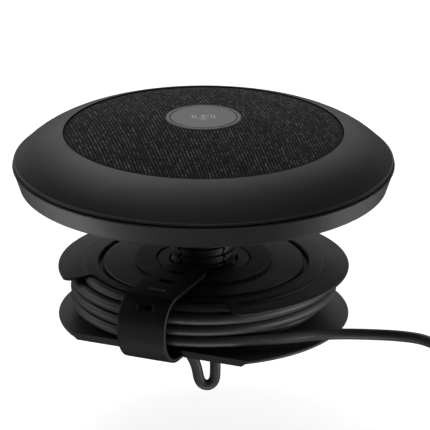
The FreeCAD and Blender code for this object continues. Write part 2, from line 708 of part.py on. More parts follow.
def cable_pack():
    """Wound turns as one closed ring, scalloped outside, with a channel for the tail."""
    outline = [(36.7, -45.35), (36.7, -32.4), (45.0, -32.4)]
    side_r = TURN_R - 0.4
    for z in TURN_Z:
        outline += [(side_r, z + CABLE_R - 0.02),
                    (TURN_R + CABLE_R, z, side_r, z - CABLE_R + 0.02)]
    outline += [(45.0, -45.35)]
    channel = pipe([polar(TURN_R, 21.5, TURN_Z[2] + 0.02)] + TAIL_POINTS[:5], CABLE_R + 0.12)
    pack = revolve(outline).cut(channel)
    return max(pack.Solids, key=lambda solid: solid.Volume)


def loop_point(across, z):
    """Point in the service loop's upright plane, which is square to FACING_AZ."""
    return polar(across, FACING_AZ + 90.0, z)


def service_loop():
    """Down out of the stem's bore, round below the reel and up to the drum's port."""
    bend_across, bend_z, bend_r = 0.2, -75.9, 3.1
    start = loop_point(bend_across + bend_r, -37.0)
    bend_start = loop_point(bend_across + bend_r, bend_z)
    bend_end = loop_point(bend_across - bend_r, bend_z)
    leg = Part.makeLine(start, bend_start)
    bend = Part.Arc(bend_start, loop_point(bend_across, bend_z - bend_r), bend_end).toShape()
    stations = [(-3.9, -69.5), (-8.2, -62.5), (-14.6, -56.5),      # across, z
                (-20.2, -50.8), (-24.6, -44.8), (-31.0, -41.0)]
    rise = Part.BSplineCurve()
    rise.interpolate(Points=[bend_end] + [loop_point(*station) for station in stations],
                     InitialTangent=AXIS_Z, FinalTangent=loop_point(-1, 0))
    path = Part.Wire([leg, bend, rise.toShape()])
    return sweep(path, start, Vec(0, 0, -1), CABLE_R)


# the plug's pieces are modelled along +X from the cable's end at the origin
PLUG_TILT = math.degrees(math.atan2(4.6, 14.0))     # downward slope of the plug


def at_cable_end(shape):
    placed = shape.copy()
    placed.rotate(Vec(0, 0, 0), Vec(0, 1, 0), PLUG_TILT)
    placed.translate(TAIL_POINTS[-1])
    return clean(placed)


def stadium(width, height, x0, x1):
    """Round-sided bar along +X: width across Y, height across Z."""
    radius = height / 2.0
    side = width / 2 - radius
    core = box(x0, x1, -side, side, -radius, radius)
    return core.fuse([x_cyl(radius, x0, x1, -side), x_cyl(radius, x0, x1, side)]).removeSplitter()


def plug_boot():
    """Grooved cone round the cable, with a moulded grip."""
    boot = Part.makeCone(2.7, 3.3, 9.0, Vec(-8.0, 0, 0), AXIS_X)
    boot = boot.cut(x_cyl(CABLE_R + 0.08, -9, 0.05))
    for i in range(3):
        groove = x_cyl(6.0, -6.4 + 2.2 * i, -5.5 + 2.2 * i)
        boot = boot.cut(groove.cut(x_cyl(2.45 + 0.15 * i, -8, 2)))
    boot = boot.fuse(stadium(12.0, 6.6, 0.9, 19.5))
    return at_cable_end(boot.cut(stadium(8.5, 2.9, 12.0, 20.5)))


def plug_shell():
    return at_cable_end(stadium(8.4, 2.6, 12.5, 26.2).cut(stadium(7.8, 2.0, 13.5, 27)))


def plug_tongue():
    return at_cable_end(box(13.6, 25.2, -3.3, 3.3, -0.35, 0.35))


# ================================================================ strap
# ends (y0, y1) of the slots on the flat run; a fourth lies on the top bend
FLAT_SLOTS = ((-23.6, -21.2), (-33.4, -30.9), (-42.9, -39.9))


def strap():
    """C-shaped band from the hinge below the reel, round and back over the nut's disc."""
    diagonal = math.sqrt(0.5)
    inner_y = STRAP_OUTER_Y + STRAP_T
    half_t = STRAP_T / 2
    top_y, top_z = STRAP_OUTER_Y + TOP_BEND_R, STRAP_TOP - TOP_BEND_R
    low_y, low_z = STRAP_OUTER_Y + LOW_BEND_R, LOW_BEND_Z
    top_out, top_in = TOP_BEND_R * diagonal, (TOP_BEND_R - STRAP_T) * diagonal
    low_out, low_in = LOW_BEND_R * diagonal, (LOW_BEND_R - STRAP_T) * diagonal
    band = face([
        (TIP_Y, STRAP_TOP), (top_y, STRAP_TOP),
        (top_y - top_out, top_z + top_out, STRAP_OUTER_Y, top_z),
        (STRAP_OUTER_Y, low_z),
        (low_y - low_out, low_z - low_out, low_y, low_z - LOW_BEND_R),
        (HINGE_Y, HINGE_Z - half_t),
        (HINGE_Y + half_t, HINGE_Z, HINGE_Y, HINGE_Z + half_t),
        (low_y, HINGE_Z + half_t),
        (low_y - low_in, low_z - low_in, inner_y, low_z),
        (inner_y, top_z),
        (top_y - top_in, top_z + top_in, top_y, STRAP_TOP - STRAP_T),
        (TIP_Y, STRAP_TOP - STRAP_T)], in_yz).extrude(Vec(STRAP_W, 0, 0))
    band.translate(Vec(-STRAP_W / 2, 0, 0))

    # rounded tip
    round_x, round_y = STRAP_W / 2 - TIP_R, TIP_Y - TIP_R
    kept = box(-round_x, round_x, round_y, TIP_Y, -41, -19).fuse([
        cyl(TIP_R, -41, -19, Vec(-round_x, round_y, 0)),
        cyl(TIP_R, -41, -19, Vec(round_x, round_y, 0))])
    waste = box(-15, 15, round_y - 2, -5, -40, -20).cut(kept)
    waste = waste.cut(box(-15, 15, -30, round_y, -41, -19))
    band = band.cut(waste)

    for y0, y1 in FLAT_SLOTS:
        band = band.cut(box(-SLOT_HALF, SLOT_HALF, y0, y1, -30, -25))
    bend_slot = box(-SLOT_HALF, SLOT_HALF, -1.22, 1.22, 7.0, 12.5)
    bend_slot.rotate(Vec(0, 0, 0), AXIS_X, 42.0)
    bend_slot.translate(Vec(0, top_y, top_z))
    return clean(band.cut(bend_slot))


def catch_bar():
    """Stands in the third slot, held at its ends by the slot's walls."""
    y, z, radius = -41.7, -26.8, 0.6
    web = box(-SLOT_HALF, SLOT_HALF, y - radius, y + radius, -28.4, z)
    return clean(web.fuse(x_cyl(radius, -SLOT_HALF, SLOT_HALF, y, z)))


def strap_anchor():
    """Plate riveted under the lower flange."""
    anchor = box(-STRAP_W / 2, STRAP_W / 2, HINGE_Y + 1.4, -25.5,
                 HINGE_Z - STRAP_T / 2, LOW_BOT - 0.06)
    for point in RIVET_POINTS:
        anchor = anchor.cut(cyl(1.55, -60, -45, point))
    return clean(anchor)


def strap_rivets():
    head_z = LOW_TOP + 1.35
    return [clean(cyl(1.45, HINGE_Z - 0.95, head_z, point).fuse([
        cyl(2.8, HINGE_Z - 1.7, HINGE_Z - 0.9, point),
        cyl(2.4, head_z, LOW_TOP + 2.0, point)])) for point in RIVET_POINTS]


# each file is named after the function that builds its piece
for build in (
        base_ring, threaded_inserts, anti_slip_ring, trim_ring, threaded_stem, stem_screws,
        pod_housing, pod_foot_ring, housing_screws, pod_top_shell, fabric_cover, light_guide,
        main_board, status_leds, microphones, mic_gaskets, audio_processor, shield_can,
        key_switch, board_connector, strain_relief, pod_cable,
        mute_key, mute_symbol_lens, switch_plunger,
        clamp_washer, clamp_nut, grip_pad, reel_upper_flange, reel_lower_flange, reel_screws,
        cable_tail, cable_pack, service_loop, plug_boot, plug_shell, plug_tongue,
        strap, catch_bar, strap_anchor, strap_rivets):
    save(build.__name__, build())
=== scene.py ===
"""Round pod with a cloth-covered dome, on a threaded stem with a cable reel below it.

The stem's axis is Z. The dome's apex is up, at z = 26.5 mm. The strap loops over the
reel on the -Y side, and the cable's tail leaves the reel towards +X. Geometry is worked
out in millimetres and turned into metres when a mesh is made. Azimuths are in degrees
from -Y towards +X, except the lights', which start at the camera.
"""
import json
import math
from functools import cached_property

import bmesh
import bpy
import numpy as np
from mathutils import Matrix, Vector


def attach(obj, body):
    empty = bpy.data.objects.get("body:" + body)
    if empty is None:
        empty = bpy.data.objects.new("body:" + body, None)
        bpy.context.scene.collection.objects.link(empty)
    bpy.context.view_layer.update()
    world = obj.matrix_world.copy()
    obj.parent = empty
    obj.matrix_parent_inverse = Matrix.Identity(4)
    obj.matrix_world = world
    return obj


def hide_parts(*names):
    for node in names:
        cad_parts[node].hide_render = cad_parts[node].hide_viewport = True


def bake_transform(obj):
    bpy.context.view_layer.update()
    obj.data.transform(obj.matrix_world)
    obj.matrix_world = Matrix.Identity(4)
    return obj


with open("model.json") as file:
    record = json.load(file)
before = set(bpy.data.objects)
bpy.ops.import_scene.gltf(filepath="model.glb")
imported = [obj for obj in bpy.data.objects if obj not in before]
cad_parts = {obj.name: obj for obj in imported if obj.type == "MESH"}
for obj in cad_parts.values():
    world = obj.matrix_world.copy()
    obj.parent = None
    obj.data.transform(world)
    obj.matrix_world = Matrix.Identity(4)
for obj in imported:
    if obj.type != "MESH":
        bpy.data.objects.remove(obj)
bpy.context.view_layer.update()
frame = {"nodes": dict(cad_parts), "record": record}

NODES = frame["nodes"]
MM = 0.001

for name in ("Cube", "Light", "Camera"):
    leftover = bpy.data.objects.get(name)
    if leftover and name not in NODES:
        bpy.data.objects.remove(leftover)

# Directions in plan as the camera sees them
VIEW_AZIMUTH = math.radians(23.8)
TOWARDS_CAMERA = np.array([math.sin(VIEW_AZIMUTH), -math.cos(VIEW_AZIMUTH), 0])
CAMERA_RIGHT = np.array([math.cos(VIEW_AZIMUTH), math.sin(VIEW_AZIMUTH), 0])


# ------------------------------------------------------------------ node helpers
MATERIALS = {}


def rgba(colour):
    """Colour with alpha 1 from an (r, g, b) or a single grey level."""
    if isinstance(colour, tuple):
        return (*colour, 1.0)
    return (colour, colour, colour, 1.0)


def scaled_colour(colour, factor, lift=0.0):
    return tuple(min(1.0, c * factor + lift) for c in colour)


class NodeTree:
    """A shader tree, emptied and ready to be built."""

    def __init__(self, tree):
        self.tree = tree
        tree.nodes.clear()

    def feed(self, socket, value):
        """Link a socket to value if that is an output, else store it."""
        if isinstance(value, bpy.types.NodeSocket):
            self.tree.links.new(value, socket)
        else:
            socket.default_value = rgba(value) if socket.type == "RGBA" else value

    def node(self, kind, inputs=None, **settings):
        node = self.tree.nodes.new(kind)
        for key, value in settings.items():
            setattr(node, key, value)
        for key, value in (inputs or {}).items():
            self.feed(node.inputs[key], value)
        return node

    def ramp(self, factor, stops):
        """Colour ramp; stops are (position, colour or grey level)."""
        node = self.node("ShaderNodeValToRGB", {"Fac": factor})
        elements = node.color_ramp.elements
        while len(elements) < len(stops):
            elements.new(0.5)
        for k, (position, colour) in enumerate(stops):
            elements[k].position = position
            elements[k].color = rgba(colour)
        return node.outputs["Color"]


class Material(NodeTree):
    """A new principled material, listed in MATERIALS."""

    def __init__(self, name):
        material = bpy.data.materials.new(name)
        material.use_nodes = True
        super().__init__(material.node_tree)
        self.output = self.node("ShaderNodeOutputMaterial")
        self.principled = self.node("ShaderNodeBsdfPrincipled")
        self.feed(self.output.inputs[0], self.principled.outputs[0])
        MATERIALS[name] = material

    @cached_property
    def place(self):
        return self.node("ShaderNodeTexCoord").outputs["Object"]

    def set(self, inputs):
        for key, value in inputs.items():
            self.feed(self.principled.inputs[key], value)

    def noise(self, scale, detail=3.0, roughness=0.55, vector=None, distortion=0.0):
        return self.node("ShaderNodeTexNoise", {
            "Scale": scale, "Detail": detail, "Roughness": roughness,
            "Distortion": distortion, "Vector": vector or self.place}).outputs["Fac"]

    def voronoi(self, scale, feature="F1"):
        node = self.node("ShaderNodeTexVoronoi", feature=feature,
                         inputs={"Scale": scale, "Vector": self.place})
        return node.outputs["Distance"]

    def mapping(self, **inputs):
        return self.node("ShaderNodeMapping", {"Vector": self.place, **inputs}).outputs["Vector"]

    def math(self, operation, *values):
        return self.node("ShaderNodeMath", dict(enumerate(values)), operation=operation).outputs[0]

    def mix(self, factor, a, b, blend="MIX"):
        return self.node("ShaderNodeMix", data_type="RGBA", blend_type=blend,
                         inputs={0: factor, 6: a, 7: b}).outputs[2]

    def bump(self, height, distance, strength, normal=None):
        """Bump normal; distance is in mm."""
        inputs = {"Strength": strength, "Distance": distance * MM, "Height": height}
        if normal is not None:
            inputs["Normal"] = normal
        return self.node("ShaderNodeBump", inputs).outputs["Normal"]

    def rounded_normal(self, radius, samples):
        return self.node("ShaderNodeBevel", {"Radius": radius}, samples=samples).outputs["Normal"]

    def edge(self, radius):
        """Mask, bright where the rounded normal leaves the true one."""
        rounded = self.rounded_normal(radius, samples=6)
        true = self.node("ShaderNodeNewGeometry").outputs["Normal"]
        agreement = self.node("ShaderNodeVectorMath", {0: rounded, 1: true},
                              operation="DOT_PRODUCT").outputs["Value"]
        departure = self.math("SUBTRACT", 1.0, agreement)
        return self.node("ShaderNodeMapRange", {
            "From Min": 0.02, "From Max": 0.25, "Value": departure}).outputs[0]


# ------------------------------------------------------------------ material kinds
# In all of them depth is the bump's height in mm, and radii are in metres.
def moulded(name, colour, roughness, grain=2600.0, depth=0.02, wear=0.25, specular=0.5,
            vary=0.12, bevel=0.0, painted_side_shade=0.0):
    """Moulded plastic: fine grain, slow colour drift, edges rubbed lighter in patches.

    grain: noise scale; wear: strength of rubbed edges; vary: colour drift either way;
    bevel: rounding of the shaded edges; painted_side_shade: painted shade, darker colour and less
    specular on faces that turn from straight up to the side.
    """
    m = Material(name)
    drift = m.noise(22.0, detail=4.0)
    fine = m.noise(grain, detail=2.0, roughness=0.6)
    cells = m.voronoi(grain * 0.62)
    base = m.ramp(drift, [(0.3, scaled_colour(colour, 1 - vary)),
                          (0.7, scaled_colour(colour, 1 + vary))])
    speckle = m.ramp(fine, [(0.35, 0.9), (0.65, 1.1)])
    base = m.mix(1.0, base, speckle, blend="MULTIPLY")
    if wear > 0:
        patches = m.ramp(m.noise(140.0, detail=5.0, roughness=0.7), [(0.42, 0.0), (0.62, 1.0)])
        rubbed = m.math("MULTIPLY", m.edge(radius=0.00035), patches)
        rubbed = m.math("MULTIPLY", rubbed, wear)
        base = m.mix(rubbed, base, scaled_colour(colour, 2.6, lift=0.012))
    if painted_side_shade > 0:
        # painted shade: colour and specular fall as the face turns from straight up to the side,
        # as if less light reached it
        normal = m.node("ShaderNodeNewGeometry").outputs["Normal"]
        split = m.node("ShaderNodeSeparateXYZ", {"Vector": normal})
        shade = m.ramp(split.outputs["Z"], [(0.22, 1.0 - painted_side_shade), (0.58, 1.0)])
        base = m.mix(1.0, base, shade, blend="MULTIPLY")
        m.set({"Specular IOR Level": m.math("MULTIPLY", shade, specular)})
    # roughness: broad handled areas, plus a little from the grain
    handled = m.noise(38.0, detail=5.0, roughness=0.62, distortion=0.6)
    gloss = m.math("MULTIPLY_ADD", handled, 0.16, roughness - 0.08)
    gloss = m.math("MULTIPLY_ADD", fine, 0.06, gloss)
    height = m.math("MULTIPLY_ADD", cells, 0.7, m.math("MULTIPLY", fine, 0.5))
    soft = m.rounded_normal(bevel, samples=8) if bevel > 0 else None
    m.set({"Base Color": base, "Roughness": gloss, "Specular IOR Level": specular,
           "Normal": m.bump(height, distance=depth, strength=0.55, normal=soft)})


def metal(name, colour, roughness, brushed=(1, 1, 30)):
    """Metal with a brushed grain; brushed stretches the noise along the axes."""
    m = Material(name)
    grain = m.noise(900.0, detail=4.0, roughness=0.6, vector=m.mapping(Scale=brushed))
    dirt = m.noise(160.0, detail=5.0)
    base = m.ramp(dirt, [(0.3, scaled_colour(colour, 0.8)), (0.7, colour)])
    bright = m.math("MULTIPLY", m.edge(radius=0.0002), 0.4)
    m.set({"Base Color": m.mix(bright, base, scaled_colour(colour, 1.3)),
           "Metallic": 1.0,
           "Roughness": m.math("MULTIPLY_ADD", grain, 0.22, roughness - 0.1),
           "Normal": m.bump(grain, distance=0.006, strength=0.6)})


def rubber(name, colour, roughness, grain=1800.0, depth=0.02, specular=0.4, wipe=0.2):
    """Matt rubber with dusty patches; wipe is how light its edges are."""
    m = Material(name)
    fine = m.noise(grain, detail=4.0, roughness=0.7)
    dust = m.noise(60.0, detail=6.0, roughness=0.7, distortion=0.8)
    base = m.ramp(dust, [(0.32, scaled_colour(colour, 0.85)),
                         (0.72, scaled_colour(colour, 1.25, lift=0.002))])
    wiped = m.math("MULTIPLY", m.edge(radius=0.0003), wipe)
    m.set({"Base Color": m.mix(wiped, base, scaled_colour(colour, 2.2, lift=0.01)),
           "Roughness": m.math("MULTIPLY_ADD", dust, 0.2, roughness - 0.1),
           "Normal": m.bump(fine, distance=depth, strength=0.6),
           "Specular IOR Level": specular})


def melange_cloth(name):
    """Cloth: yarn tone and height from the weave's attributes, with fibres on top."""
    m = Material(name)
    # the tone attribute holds the yarn's melange, with painted shade at the stitches, the dash
    # ends and the outer rim
    tone = m.node("ShaderNodeAttribute", attribute_name="melange_and_shade").outputs["Fac"]
    height = m.node("ShaderNodeAttribute", attribute_name="hgt").outputs["Fac"]
    yarn = m.ramp(tone, [(0.0, (0.010, 0.0099, 0.0115)), (0.3, (0.027, 0.0267, 0.0305)),
                         (0.62, (0.092, 0.091, 0.100)), (1.0, (0.205, 0.202, 0.216))])
    # the noise is turned with the ribs and drawn out into fibres
    stretched = m.mapping(Rotation=(0, 0, math.radians(-RIB_AZIMUTH)), Scale=(1.0, 0.22, 1.0))
    fibres = m.noise(9000.0, detail=3.0, roughness=0.65, vector=stretched)
    fibre_shade = m.ramp(fibres, [(0.3, 0.72), (0.7, 1.3)])
    base = m.mix(1.0, yarn, fibre_shade, blend="MULTIPLY")
    valley_shade = m.ramp(height, [(0.0, 0.01), (0.42, 0.06), (0.70, 0.80), (0.88, 1.35)])
    m.set({"Base Color": m.mix(1.0, base, valley_shade, blend="MULTIPLY"),
           "Roughness": 0.86, "Specular IOR Level": 0.22,
           "Sheen Weight": 0.06, "Sheen Roughness": 0.5,
           "Normal": m.bump(fibres, distance=0.03, strength=0.8)})


def circuit_board(name):
    """Green board with lighter lines along cell borders and gold dots."""
    m = Material(name)
    borders = m.voronoi(260.0, feature="DISTANCE_TO_EDGE")
    traces = m.ramp(borders, [(0.02, 1.0), (0.06, 0.0)])
    base = m.mix(traces, (0.010, 0.075, 0.035), (0.03, 0.16, 0.075))
    dots = m.ramp(m.voronoi(700.0), [(0.08, 1.0), (0.12, 0.0)])
    m.set({"Base Color": m.mix(dots, base, (0.55, 0.42, 0.16)), "Roughness": 0.35,
           "Normal": m.bump(traces, distance=0.03, strength=0.8)})


# ------------------------------------------------------------------ materials
RIB_AZIMUTH = 36.0                # direction of the cloth's ribs, degrees

moulded("ring_black", colour=(0.030, 0.030, 0.0315), roughness=0.50, depth=0.022, wear=0.0,
        painted_side_shade=0.5)
moulded("base_black", colour=(0.028, 0.028, 0.029), roughness=0.52, depth=0.022, wear=0.0,
        specular=0.45, bevel=0.0006)
moulded("stem_black", colour=(0.022, 0.022, 0.023), roughness=0.40, grain=1500, depth=0.012,
        wear=0.6)
moulded("reel_black", colour=(0.021, 0.021, 0.022), roughness=0.46, grain=2200, depth=0.018,
        wear=0.45, specular=0.45)
moulded("pod_black", colour=(0.026, 0.026, 0.027), roughness=0.5, grain=2400, wear=0.3)
moulded("key_grey", colour=(0.288, 0.288, 0.292), roughness=0.55, grain=3000, depth=0.010,
        wear=0.2, specular=0.35, vary=0.03)
moulded("guide_grey", colour=(0.225, 0.225, 0.229), roughness=0.55, grain=1800, depth=0.006,
        wear=0.1, specular=0.45, vary=0.04)
moulded("symbol_lens", colour=(0.66, 0.66, 0.665), roughness=0.35, grain=1500, depth=0.004,
        wear=0.0, vary=0.03)
moulded("chip_black", colour=(0.018, 0.018, 0.019), roughness=0.38, grain=3000, depth=0.01,
        wear=0.3)
moulded("washer_black", colour=(0.013, 0.013, 0.0135), roughness=0.5, grain=900, depth=0.01,
        wear=0.5)
rubber("grip_rubber", colour=(0.021, 0.021, 0.0215), roughness=0.56)
rubber("strap_rubber", colour=(0.0105, 0.0105, 0.011), roughness=0.56, grain=1300, depth=0.016,
       wipe=0.0)
rubber("cable_jacket", colour=(0.043, 0.043, 0.0445), roughness=0.46, grain=1100, depth=0.014,
       specular=0.45, wipe=0.0)
rubber("gasket_foam", colour=(0.05, 0.05, 0.05), roughness=0.9, grain=2500, depth=0.12)
melange_cloth("fabric_melange")
metal("insert_brass", colour=(0.70, 0.52, 0.24), roughness=0.32)
metal("screw_steel", colour=(0.16, 0.16, 0.17), roughness=0.38, brushed=(1, 1, 1))
metal("can_tin", colour=(0.62, 0.62, 0.61), roughness=0.3, brushed=(30, 1, 1))
metal("mic_gold", colour=(0.75, 0.6, 0.3), roughness=0.25)
metal("plug_metal", colour=(0.63, 0.63, 0.64), roughness=0.26, brushed=(1, 30, 30))
moulded("led_white", colour=(0.8, 0.78, 0.66), roughness=0.25, grain=800, depth=0.003, wear=0.0)
circuit_board("board_green")
moulded("bar_grey", colour=(0.27, 0.27, 0.272), roughness=0.38, depth=0.01, wear=0.2)
moulded("flange_black", colour=(0.040, 0.040, 0.041), roughness=0.48, grain=2200, depth=0.018,
        wear=0.4)


def dress_nodes():
    """Give each CAD piece its recorded material, apart from three with their own."""
    recorded = {part["node"]: part["material_slot"] for part in frame["record"]["subparts"]}
    own = {"base_ring": "base_black", "catch_bar": "bar_grey",
           "reel_lower_flange": "flange_black"}
    default = MATERIALS["reel_black"]
    for node, piece in NODES.items():
        key = own.get(node, recorded.get(node))
        piece.data.materials.clear()
        piece.data.materials.append(MATERIALS.get(key, default))


dress_nodes()


# ------------------------------------------------------------------ mesh helpers
def link_mesh(name, mesh, material, smooth=True):
    if smooth:
        mesh.polygons.foreach_set("use_smooth", [True] * len(mesh.polygons))
    mesh.materials.append(MATERIALS[material])
    piece = bpy.data.objects.new(name, mesh)
    bpy.context.scene.collection.objects.link(piece)
    return piece


def mesh_object(name, verts, faces, material, smooth=True):
    """Object from vertices in metres."""
    mesh = bpy.data.meshes.new(name)
    mesh.from_pydata([tuple(v) for v in verts], [], [tuple(f) for f in faces])
    mesh.update()
    return link_mesh(name, mesh, material, smooth)


def polar(r, azimuth, z):
    """Point at an azimuth in degrees, from -Y towards +X."""
    angle = math.radians(azimuth)
    return np.array([r * math.sin(angle), -r * math.cos(angle), z])


def smoothstep(x):
    x = np.clip(x, 0, 1)
    return x * x * (3 - 2 * x)


def curve_through(points, steps=10):
    """Centripetal Catmull-Rom curve, with steps points per span."""
    p = [np.array(q, float) for q in points]
    p = [2 * p[0] - p[1]] + p + [2 * p[-1] - p[-2]]
    curve = []
    for i in range(1, len(p) - 2):
        p0, p1, p2, p3 = p[i - 1:i + 3]
        t0 = 0.0
        t1 = t0 + max(np.linalg.norm(p1 - p0), 1e-6) ** 0.5
        t2 = t1 + max(np.linalg.norm(p2 - p1), 1e-6) ** 0.5
        t3 = t2 + max(np.linalg.norm(p3 - p2), 1e-6) ** 0.5
        for k in range(steps):
            t = t1 + (t2 - t1) * k / steps
            a1 = (t1 - t) / (t1 - t0) * p0 + (t - t0) / (t1 - t0) * p1
            a2 = (t2 - t) / (t2 - t1) * p1 + (t - t1) / (t2 - t1) * p2
            a3 = (t3 - t) / (t3 - t2) * p2 + (t - t2) / (t3 - t2) * p3
            b1 = (t2 - t) / (t2 - t0) * a1 + (t - t0) / (t2 - t0) * a2
            b2 = (t3 - t) / (t3 - t1) * a2 + (t - t1) / (t3 - t1) * a3
            curve.append((t2 - t) / (t2 - t1) * b1 + (t - t1) / (t2 - t1) * b2)
    curve.append(p[-2])
    return np.array(curve)


def resample(points, step):
    """The same polyline with even spacing close to step."""
    lengths = np.r_[0, np.cumsum(np.linalg.norm(np.diff(points, axis=0), axis=1))]
    count = max(2, int(round(lengths[-1] / step)))
    even = np.linspace(0, lengths[-1], count + 1)
    return np.stack([np.interp(even, lengths, points[:, k]) for k in range(3)], 1)


# ------------------------------------------------------------------ cloth on the dome (mm)
DOME_RADIUS = 213.6
DOME_APEX = 26.5
CLOTH_INNER = 14.15               # rim around the central opening
CLOTH_OUTER = 50.55
RIB_PITCH = 1.20
STITCH_PITCH = 0.95               # along a rib
WEAVE_HEIGHT = 0.46
CLOTH_SINK = 0.20                 # mid-height of the weave below the dome's sphere
RIM_SINK = 0.13                   # start of the turned-down rims below the sphere
# Rows of the turned-down rims: radius, z from the rim's start
OUTER_RIM = ((50.86, -0.09), (51.02, -0.30), (51.08, -0.75), (51.08, -1.6), (50.90, -3.2))
INNER_RIM = ((13.98, -0.10), (13.93, -0.35), (13.93, -1.1))


def hashed(i, j, seed=0):
    """Repeatable random value 0..1 for a pair of indices."""
    x = np.sin(i * 127.1 + j * 311.7 + seed * 74.7) * 43758.5453
    return x - np.floor(x)


def value_noise(x, y, seed):
    xi, yi = np.floor(x), np.floor(y)
    fx, fy = smoothstep(x - xi), smoothstep(y - yi)
    return (hashed(xi, yi, seed) * (1 - fx) * (1 - fy)
            + hashed(xi + 1, yi, seed) * fx * (1 - fy)
            + hashed(xi, yi + 1, seed) * (1 - fx) * fy
            + hashed(xi + 1, yi + 1, seed) * fx * fy)


def weave(x, y):
    """Height and tone of the ribbed cloth, both 0..1, at plan position x, y."""
    angle = math.radians(RIB_AZIMUTH)
    along = x * math.sin(angle) - y * math.cos(angle)
    across = x * math.cos(angle) + y * math.sin(angle)
    # yarns wander: a slow and a quick drift sideways, then a drift along the rib
    across = (across + 0.34 * (value_noise(along * 0.10, across * 0.16, seed=3) - 0.5)
              + 0.20 * (value_noise(along * 0.55, across * 0.8, seed=13) - 0.5))
    along = along + 0.20 * (value_noise(along * 0.3, across * 0.3, seed=5) - 0.5)

    # height: round ribs with deep valleys, and slanting stitches staggered rib to rib
    rib = np.floor(across / RIB_PITCH)
    rib_offset = across / RIB_PITCH - rib - 0.5
    stitch_run = along / STITCH_PITCH + 0.5 * np.mod(rib, 2) + 0.25 * hashed(rib, 2, seed=21)
    stitch_index = np.floor(stitch_run)
    stitch_offset = stitch_run - stitch_index - 0.5
    ridge = np.cos(rib_offset * math.pi) ** 1.15
    stitch = 0.5 + 0.5 * np.cos(2 * math.pi * (stitch_offset + 0.55 * rib_offset))
    fatness = 0.80 + 0.40 * value_noise(along * 0.75, rib * 3.7, seed=15)
    height = ridge * (0.66 + 0.34 * stitch) * fatness

    # tone: each rib is broken into dashes of uneven length, darker at their ends
    dash_pitch = 2.5
    run = (along / dash_pitch + hashed(rib, 0, seed=1) * 7.0
           + 0.9 * (value_noise(along * 0.33, rib * 5.1, seed=31) - 0.5))
    dash = np.floor(run)
    to_end = np.minimum(run - dash, 1.0 - (run - dash)) * dash_pitch
    tie = smoothstep(to_end / (0.18 + 0.5 * hashed(rib, dash, seed=27)))
    short_dash = np.floor(along / 1.15 + hashed(rib, 4, seed=9) * 3.0)
    tone = (0.46 * hashed(rib, dash, seed=2) ** 1.4
            + 0.32 * hashed(rib, short_dash, seed=4) ** 1.8
            + 0.22 * hashed(rib, stitch_index, seed=6) ** 1.3)
    # broad drift, then stitch and dash-end shading, then small blotches
    tone = tone * (0.84 + 0.32 * value_noise(along * 0.09, across * 0.12, seed=8))
    tone = (0.20 + 0.95 * tone) * (0.62 + 0.38 * stitch) * (0.30 + 0.70 * tie)
    tone = tone * (0.52 + 0.96 * value_noise(along * 0.62, across * 0.95, seed=41))
    return np.clip(height, 0, 1), np.clip(tone * 1.25, 0, 1)


def dome_z(r):
    return (DOME_APEX - DOME_RADIUS) + np.sqrt(DOME_RADIUS ** 2 - r ** 2)


def quad_mesh(name, verts, quads):
    """Mesh from arrays; verts in metres."""
    mesh = bpy.data.meshes.new(name)
    mesh.vertices.add(len(verts))
    mesh.vertices.foreach_set("co", verts.astype(np.float32).ravel())
    mesh.loops.add(quads.size)
    mesh.loops.foreach_set("vertex_index", quads.ravel().astype(np.int32))
    mesh.polygons.add(len(quads))
    mesh.polygons.foreach_set("loop_start", (np.arange(len(quads)) * 4).astype(np.int32))
    mesh.update(calc_edges=True)
    return mesh


def turn_rim_down(bm, rim_radius, rows):
    """Extrude one of the cloth's two open rims through rows of (radius, z)."""
    between_rims = 0.040          # metres
    is_outer = rim_radius == CLOTH_OUTER
    rim = [e for e in bm.edges
           if e.is_boundary and (e.verts[0].co.xy.length > between_rims) == is_outer]
    start_z = float(dome_z(rim_radius)) - RIM_SINK
    for radius, drop in rows:
        made = bmesh.ops.extrude_edge_only(bm, edges=rim)["geom"]
        rim = [x for x in made if isinstance(x, bmesh.types.BMEdge) and x.is_boundary]
        for vert in (x for x in made if isinstance(x, bmesh.types.BMVert)):
            length = vert.co.xy.length
            vert.co.x *= radius * MM / length
            vert.co.y *= radius * MM / length
            vert.co.z = (start_z + drop) * MM


